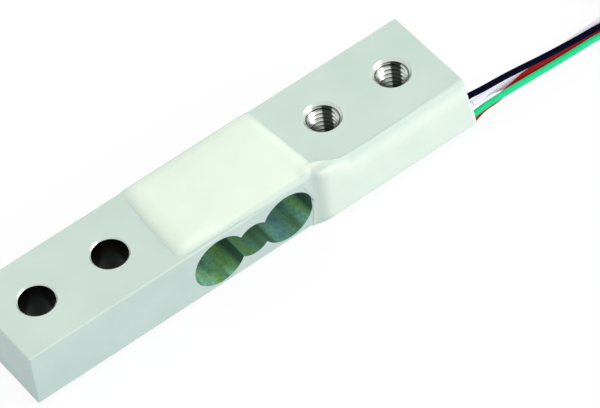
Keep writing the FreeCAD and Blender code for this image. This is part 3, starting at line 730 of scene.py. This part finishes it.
coatSetup = {
    "grid": (120, 84), "weld": 0.002 * mm, "softenRounds": 2,
    "thickness": 0.95 * mm, "foot": 0.75 * mm, "wobble": (2.0, 0.04, 4 * mm),
    # The open rings at its ends lie below and above these places along the bar.
    "startRing": 8.5 * mm, "endRing": 30 * mm,
    # Where it laps onto the bar's top, and how high it stands there.
    "lap": [(8.35 * mm, -4.3 * mm), (9.0 * mm, -4.45 * mm), (9.5 * mm, -4.75 * mm),
            (10.3 * mm, -5.15 * mm), (11.6 * mm, -5.75 * mm), (13.2 * mm, -6.15 * mm),
            (17.8 * mm, -6.25 * mm), (21.5 * mm, -6.2 * mm), (25.0 * mm, -5.98 * mm),
            (29.0 * mm, -5.85 * mm), (30.6 * mm, -5.8 * mm)],
    "lapHeight": [(8.35 * mm, 0.1 * mm), (8.8 * mm, 0.64 * mm), (11.2 * mm, 0.64 * mm),
                  (13.2 * mm, 0.16 * mm), (20 * mm, 0.1 * mm), (31 * mm, 0.08 * mm)],
    # How its thickness builds up, down the side and over the bar's upper edge.
    "build": [(7.0 * mm, 0.01), (7.4 * mm, 0.06), (8.3 * mm, 0.12), (8.7 * mm, 0.27),
              (9.1 * mm, 0.45), (9.5 * mm, 0.67), (9.9 * mm, 0.88), (10.3 * mm, 0.98), (11 * mm, 1),
              (32 * mm, 1)],
    "upperBuild": [(7.0 * mm, 0.01), (7.4 * mm, 0.06), (8.3 * mm, 0.12), (8.75 * mm, 0.34),
                   (9.1 * mm, 0.64), (9.6 * mm, 0.86), (10.3 * mm, 0.98), (11 * mm, 1),
                   (32 * mm, 1)],
    # How far the section bulges over the edge, and how far it reaches under the bar.
    "tail": [(8.35 * mm, 0), (8.85 * mm, 1), (11.3 * mm, 1), (13.6 * mm, 0)],
    "heel": [(8.3 * mm, 0.5 * mm), (8.9 * mm, 1.45 * mm), (10.2 * mm, 1.3 * mm),
             (11.4 * mm, 0.02 * mm)],
    # Where it starts and ends at each distance below the bar's top, read at a plain place.
    "begin": [(0, 7.0 * mm), (0.8 * mm, 7.3 * mm), (2.2 * mm, 8.05 * mm), (4 * mm, 8.33 * mm),
              (5.8 * mm, 8.15 * mm), (8 * mm, 7.9 * mm)],
    "end": [(0, 30.4 * mm), (0.9 * mm, 30.3 * mm), (1.8 * mm, 30.4 * mm), (4 * mm, 30.85 * mm),
            (6 * mm, 31.2 * mm), (7.2 * mm, 31.35 * mm), (8 * mm, 31.25 * mm)],
    "plainPlace": 20 * mm,
    # How far before its end it thins, the share of the grid that is its outer face, and how far
    # its back lies inside the bar.
    "leaving": 0.5 * mm, "outerShare": 0.86, "sink": 0.05 * mm,
}


def coatOutline(x):
    # Corners of the coat's section at one place along the bar, from the lap's inner border
    # over the bar's edge, down its side and back under it.
    setup = coatSetup
    lap, rise = along(setup["lap"], x), along(setup["lapHeight"], x)
    heel, tail = along(setup["heel"], x), along(setup["tail"], x)
    full = setup["thickness"] * (1 + wobble(x, 0, *setup["wobble"]))
    upper = full * along(setup["upperBuild"], x)
    full *= along(setup["build"], x)
    top, base = barTop, barLow.z
    plain = [
        (lap, top + 0.003 * mm), (lap * 0.55 + nearSide * 0.45, top + 0.5 * rise),
        (lap * 0.2 + nearSide * 0.8, top + 0.9 * rise), (nearSide + 0.02 * mm, top + rise * 0.95),
        (nearSide - 0.30 * full, top - 0.02 * mm), (nearSide - 0.52 * full, top - 0.45 * mm),
        (nearSide - 0.78 * full, top - 1.15 * mm), (nearSide - full, top - 2.1 * mm)]
    bulging = [
        (lap, top + 0.003 * mm), (lap - 0.12 * mm, top + 0.55 * rise),
        (lap - 0.32 * mm, top + rise), (nearSide + 0.10 * mm, top + rise),
        (nearSide - 0.62 * upper, top + 0.92 * rise), (nearSide - 0.90 * upper, top + 0.40 * rise),
        (nearSide - 0.99 * full, top - 0.6 * mm), (nearSide - full, top - 2.1 * mm)]
    lapped = [(y0 + (y1 - y0) * tail, z0 + (z1 - z0) * tail)
              for (y0, z0), (y1, z1) in zip(plain, bulging)]
    return lapped + [
        (nearSide - full, top - 3.4 * mm), (nearSide - 0.98 * full, top - 4.8 * mm),
        (nearSide - full, base + 2 * setup["foot"]), (nearSide - full, base + setup["foot"]),
        (nearSide - 0.75 * full, base + 0.35 * mm - 0.1 * heel),
        (nearSide - 0.42 * full, base + 0.06 * mm - 0.22 * heel),
        (nearSide, base - 0.02 * mm - 0.25 * heel), (nearSide + heel, base),
    ]


def walked(points, part):
    # The place a share of the way through a row of points.
    place = part * (len(points) - 1)
    index = min(int(place), len(points) - 2)
    share = place - index
    return [a + (b - a) * share for a, b in zip(points[index], points[index + 1])]


def coatPoint(u, v):
    # The last part of v returns just inside the bar's own faces, which closes the section.
    setup = coatSetup
    outer, sink = setup["outerShare"], setup["sink"]

    def section(x):
        outline = coatOutline(x)
        back = [outline[-1], (nearSide + sink, barLow.z + sink), (nearSide + sink, barTop - sink),
                (outline[0][0], barTop - sink), outline[0]]
        if v <= outer:
            return walked(outline, v / outer)
        return walked(back, (v - outer) / (1 - outer))

    depth = max(0.0, barTop - section(setup["plainPlace"])[1])
    begin, end = along(setup["begin"], depth), along(setup["end"], depth)
    x = begin + (end - begin) * u
    y, z = section(x)
    # The coat thins a little just before its end.
    leaving = min(1.0, 0.3 + (end - x) / setup["leaving"]) ** 0.5
    return x, nearSide + min(0, y - nearSide) * (0.45 + 0.55 * leaving) + max(0, y - nearSide), z


def addSideCoat():
    # The grid is rolled into a tube, and each of its two open rings is filled.
    setup = coatSetup
    piece = mouldedGrid("sideCoat", *setup["grid"], coatPoint)
    bpy.ops.object.mode_set(mode="EDIT")
    bpy.ops.mesh.select_all(action="SELECT")
    bpy.ops.mesh.remove_doubles(threshold=setup["weld"])
    bpy.ops.object.mode_set(mode="OBJECT")
    for closing in (lambda x: x < setup["startRing"], lambda x: x > setup["endRing"]):
        bpy.ops.object.mode_set(mode="EDIT")
        bpy.ops.mesh.select_all(action="DESELECT")
        bpy.ops.mesh.select_non_manifold()
        bpy.ops.object.mode_set(mode="OBJECT")
        for edge in piece.data.edges:
            edge.select = edge.select and closing(piece.data.vertices[edge.vertices[0]].co.x)
        for vertex in piece.data.vertices:
            vertex.select = vertex.select and closing(vertex.co.x)
        bpy.ops.object.mode_set(mode="EDIT")
        bpy.ops.mesh.fill(use_beauty=True)
        bpy.ops.object.mode_set(mode="OBJECT")
    bpy.ops.object.mode_set(mode="EDIT")
    bpy.ops.mesh.select_all(action="SELECT")
    bpy.ops.mesh.normals_make_consistent(inside=False)
    bpy.ops.object.mode_set(mode="OBJECT")
    soften(piece, setup["softenRounds"])
    return piece


sideCoat = addSideCoat()
dress(sideCoat, coatMaterial)


seamSetup = {
    "weld": 0.006 * mm, "sliver": 0.002 * mm,
    # Where the two meet along the bar, how far and how deep the join is softened, and how often.
    "place": 9.1 * mm, "reach": 1.3 * mm, "depth": 0.8 * mm, "rounds": 14,
}


def blendSeam():
    # The coat runs on from the bead, so the two are one skin with a soft join.
    setup = seamSetup
    calm()
    for piece in (sideCoat, topBead):
        piece.select_set(True)
    bpy.context.view_layer.objects.active = topBead
    union = topBead.modifiers.new("union", "BOOLEAN")
    union.operation = "UNION"
    union.solver = "EXACT"
    union.object = sideCoat
    bpy.ops.object.modifier_apply(modifier="union")
    bpy.data.objects.remove(sideCoat)
    bpy.ops.object.mode_set(mode="EDIT")
    bpy.ops.mesh.select_all(action="SELECT")
    bpy.ops.mesh.remove_doubles(threshold=setup["weld"])
    bpy.ops.mesh.dissolve_degenerate(threshold=setup["sliver"])
    bpy.ops.mesh.select_all(action="DESELECT")
    bpy.ops.mesh.select_interior_faces()
    bpy.ops.mesh.delete(type="FACE")
    bpy.ops.mesh.select_all(action="SELECT")
    bpy.ops.mesh.delete_loose()
    bpy.ops.mesh.select_all(action="SELECT")
    bpy.ops.mesh.normals_make_consistent(inside=False)
    bpy.ops.object.mode_set(mode="OBJECT")
    seam = topBead.vertex_groups.new(name="seam")
    for vertex in topBead.data.vertices:
        near = 1 - abs(vertex.co.x - setup["place"]) / setup["reach"]
        if near > 0 and vertex.co.z > barTop - setup["depth"]:
            seam.add([vertex.index], min(1.0, 2 * near), "REPLACE")
    soften(topBead, setup["rounds"], "seam")


blendSeam()
topBead.name = "siliconeSkin"
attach(topBead, "root")
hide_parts("top_sealant", "side_sealant")
print("silicone laid")


# Material, light and dark colour, roughness and metallic share of each family of nodes.
partFinishes = {
    "gauge_film": ("polyimideFilm", (0.72, 0.40, 0.09), (0.60, 0.30, 0.05), 0.28, 0),
    "gauge_grid": ("constantanFoil", (0.58, 0.52, 0.43), (0.48, 0.43, 0.36), 0.34, 0.9),
    "terminal_board": ("glassBoard", (0.66, 0.60, 0.30), (0.56, 0.52, 0.26), 0.5, 0),
    "pad": ("copperPad", (0.86, 0.44, 0.26), (0.78, 0.38, 0.22), 0.3, 0.95),
    "solder": ("solderJoint", (0.72, 0.73, 0.75), (0.60, 0.62, 0.65), 0.26, 0.9),
    "core": ("tinnedStrand", (0.80, 0.79, 0.76), (0.62, 0.60, 0.56), 0.3, 0.9),
    "bridge": ("wireEnamel", (0.50, 0.10, 0.02), (0.36, 0.06, 0.01), 0.2, 0.3),
}


partGrain = {
    "cloudScale": 2400, "cloudDetail": 4, "roughScale": 5200, "smoother": 0.06, "rougher": 0.1,
    "bumpScale": 6000, "bump": 0.2, "bumpDepth": 0.01 * mm,
}


def partMaterial(name, light, shade, roughness, metallic):
    grain = partGrain
    material = newMaterial(name, light, roughness=roughness, metallic=metallic)
    shader = shaderOf(material)
    vector = placeOnObject(material)
    cloud = noise(material, vector, grain["cloudScale"], detail=grain["cloudDetail"])
    join(material, blendColors(material, cloud, shade, light), shader.inputs["Base Color"])
    uneven = spread(material, noise(material, vector, grain["roughScale"]),
                    roughness - grain["smoother"], roughness + grain["rougher"])
    join(material, uneven, shader.inputs["Roughness"])
    roughen(material, noise(material, vector, grain["bumpScale"]),
            grain["bump"], grain["bumpDepth"])
    return material


for prefix, finishNumbers in partFinishes.items():
    material = partMaterial(*finishNumbers)
    for name, node in nodes.items():
        if name.startswith(prefix):
            dress(node, material)
for colour in leadRoutes:
    dress(nodes["sleeve_" + colour], bpy.data.materials[colour + "Insulation"])
print("inner parts finished")


tipSetup = {
    "strand": 0.066 * mm, "lay": 0.132 * mm, "turns": 1.4, "steps": 28, "around": 6, "sides": 8,
    "finish": ("tinnedCopper", (0.82, 0.80, 0.76), (0.66, 0.62, 0.56), 0.24, 0.95),
}


def addTip(colour):
    # One strand is wound by a screw and copied round the bundle, with a straight one in the middle.
    setup = tipSetup
    low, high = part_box("tip_" + colour)
    middle = (Vector(low) + Vector(high)) / 2
    length, sides = high[0] - low[0], setup["sides"]
    calm()
    bpy.ops.mesh.primitive_circle_add(vertices=sides, radius=setup["strand"], fill_type="NGON",
                                      location=(0, 0, setup["lay"]), rotation=(0, math.pi / 2, 0))
    tip = bpy.context.object
    tip.name = colour + "Strands"
    bpy.ops.object.transform_apply(location=True, rotation=True, scale=True)
    bpy.ops.object.mode_set(mode="EDIT")
    bpy.ops.mesh.select_all(action="SELECT")
    bpy.ops.mesh.delete(type="ONLY_FACE")
    bpy.ops.object.mode_set(mode="OBJECT")
    wound = tip.modifiers.new("lay", "SCREW")
    wound.axis = "X"
    wound.angle = 2 * math.pi * setup["turns"]
    wound.screw_offset = length
    wound.steps = wound.render_steps = setup["steps"]
    wound.use_merge_vertices = False
    bpy.ops.object.modifier_apply(modifier="lay")
    bpy.ops.object.mode_set(mode="EDIT")
    for turn in range(1, setup["around"]):
        bpy.ops.mesh.select_all(action="DESELECT")
        bpy.ops.object.mode_set(mode="OBJECT")
        for vertex in tip.data.vertices[:sides * (setup["steps"] + 1)]:
            vertex.select = True
        bpy.ops.object.mode_set(mode="EDIT")
        bpy.ops.mesh.select_mode(type="VERT")
        bpy.ops.mesh.duplicate()
        bpy.ops.transform.rotate(value=2 * math.pi * turn / setup["around"], orient_axis="X",
                                 center_override=(0, 0, 0))
    bpy.ops.mesh.select_all(action="DESELECT")
    bpy.ops.mesh.primitive_cylinder_add(vertices=sides, radius=setup["strand"], depth=length,
                                        location=(length / 2, 0, 0),
                                        rotation=(0, math.pi / 2, 0), end_fill_type="NGON")
    bpy.ops.mesh.select_all(action="DESELECT")
    bpy.ops.mesh.select_non_manifold()
    bpy.ops.mesh.edge_face_add()
    bpy.ops.mesh.select_all(action="SELECT")
    bpy.ops.mesh.normals_make_consistent(inside=False)
    bpy.ops.transform.translate(value=(low[0], middle.y, middle.z))
    bpy.ops.object.mode_set(mode="OBJECT")
    bpy.ops.object.shade_smooth_by_angle(angle=math.radians(50))
    dress(tip, tipMaterial)
    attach(tip, "root")
    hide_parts("tip_" + colour)
    return tip


tieSetup = {
    "thickness": 0.28 * mm,
    "corner": 0.6 * mm, "cornerSteps": 6, "edge": 0.07 * mm, "edgeSteps": 3,
    "finish": ("tieTape", (0.78, 0.79, 0.76), (0.70, 0.72, 0.69), 0.45, 0),
}


def addTie():
    # A soft band round the middle of the hank, as wide and high as the CAD's.
    setup = tieSetup
    low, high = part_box("hank_tie")
    calm()
    bpy.ops.mesh.primitive_cube_add(size=1, location=(Vector(low) + Vector(high)) / 2,
                                    scale=Vector(high) - Vector(low))
    band = bpy.context.object
    band.name = "hankBand"
    bpy.ops.object.transform_apply(location=True, rotation=True, scale=True)
    bpy.ops.object.mode_set(mode="EDIT")
    bpy.ops.mesh.select_all(action="DESELECT")
    bpy.ops.object.mode_set(mode="OBJECT")
    for edge in band.data.edges:
        first, second = (band.data.vertices[i].co for i in edge.vertices)
        edge.select = abs(first.x - second.x) > 0.5 * (high[0] - low[0])
    bpy.ops.object.mode_set(mode="EDIT")
    bpy.ops.mesh.select_mode(type="EDGE")
    bpy.ops.mesh.bevel(offset=setup["corner"], segments=setup["cornerSteps"])
    bpy.ops.mesh.select_all(action="DESELECT")
    bpy.ops.object.mode_set(mode="OBJECT")
    for face in band.data.polygons:
        face.select = abs(face.normal.x) > 0.9
    bpy.ops.object.mode_set(mode="EDIT")
    bpy.ops.mesh.select_mode(type="FACE")
    bpy.ops.mesh.delete(type="FACE")
    bpy.ops.mesh.select_all(action="SELECT")
    bpy.ops.mesh.normals_make_consistent(inside=False)
    bpy.ops.object.mode_set(mode="OBJECT")
    wall = band.modifiers.new("wall", "SOLIDIFY")
    wall.thickness = setup["thickness"]
    wall.offset = -1
    bpy.ops.object.modifier_apply(modifier="wall")
    soft = band.modifiers.new("edges", "BEVEL")
    soft.width = setup["edge"]
    soft.segments = setup["edgeSteps"]
    soft.limit_method = "ANGLE"
    bpy.ops.object.modifier_apply(modifier="edges")
    bpy.ops.object.shade_smooth_by_angle(angle=math.radians(40))
    dress(band, partMaterial(*setup["finish"]))
    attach(band, "root")
    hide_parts("hank_tie")


tipMaterial = partMaterial(*tipSetup["finish"])
addTie()
for colour, lead in leads.items():
    addTip(colour)
print("hank tied and ends stripped")


lightSetup = {
    "worldStrength": 1.14,
    "floorSize": 3.0, "floorColor": (0.56, 0.60, 0.73), "floorRoughness": 0.9,
    "paperShare": 0.12,
    "keyPower": 1.8, "keySize": 0.3, "keyPlace": (0.45, -0.40, 0.30),
}


def whiteToCamera(tree, plain, target):
    # Rays that show the background get the shader joined to the socket that this returns, and
    # the rest get the plain one.
    path = tree.nodes.new("ShaderNodeLightPath")
    seen = path.outputs["Is Camera Ray"]
    for kind in ("Is Glossy Ray", "Is Transmission Ray"):
        largest = tree.nodes.new("ShaderNodeMath")
        largest.operation = "MAXIMUM"
        tree.links.new(seen, largest.inputs[0])
        tree.links.new(path.outputs[kind], largest.inputs[1])
        seen = largest.outputs[0]
    mix = tree.nodes.new("ShaderNodeMixShader")
    tree.links.new(seen, mix.inputs[0])
    tree.links.new(plain, mix.inputs[1])
    tree.links.new(mix.outputs[0], target)
    return mix.inputs[2]


def lightWorld():
    world = bpy.context.scene.world or bpy.data.worlds.new("studio")
    bpy.context.scene.world = world
    world.use_nodes = True
    tree = world.node_tree
    tree.nodes.clear()
    dim = tree.nodes.new("ShaderNodeBackground")
    dim.inputs["Strength"].default_value = lightSetup["worldStrength"]
    white = tree.nodes.new("ShaderNodeBackground")
    output = tree.nodes.new("ShaderNodeOutputWorld")
    tree.links.new(white.outputs[0], whiteToCamera(tree, dim.outputs[0], output.inputs["Surface"]))


def addFloor():
    calm()
    bpy.ops.mesh.primitive_plane_add(size=lightSetup["floorSize"], location=(0, 0, cadLow.z))
    floor = bpy.context.object
    floor.name = "floor"
    material = newMaterial("paleFloor", lightSetup["floorColor"], lightSetup["floorRoughness"])
    tree = material.node_tree
    glow = tree.nodes.new("ShaderNodeEmission")
    output = tree.nodes["Material Output"]
    paper = tree.nodes.new("ShaderNodeBsdfDiffuse")
    paper.inputs["Color"].default_value = (1, 1, 1, 1)
    shadowed = tree.nodes.new("ShaderNodeMixShader")
    shadowed.inputs[0].default_value = lightSetup["paperShare"]
    tree.links.new(glow.outputs[0], shadowed.inputs[1])
    tree.links.new(paper.outputs[0], shadowed.inputs[2])
    target = whiteToCamera(tree, shaderOf(material).outputs[0], output.inputs["Surface"])
    tree.links.new(shadowed.outputs[0], target)
    dress(floor, material)


def addLamp(name, power, size, place):
    bpy.ops.object.light_add(type="AREA", location=place)
    lamp = bpy.context.object
    lamp.name = name
    lamp.data.energy = power
    lamp.data.size = size
    lamp.rotation_mode = "QUATERNION"
    lamp.rotation_quaternion = (-Vector(place)).to_track_quat("-Z", "Y")


lightWorld()
addFloor()
addLamp("keyLamp", lightSetup["keyPower"], lightSetup["keySize"], lightSetup["keyPlace"])
settings = bpy.context.scene.view_settings
settings.view_transform = "Standard"
print("studio lit")
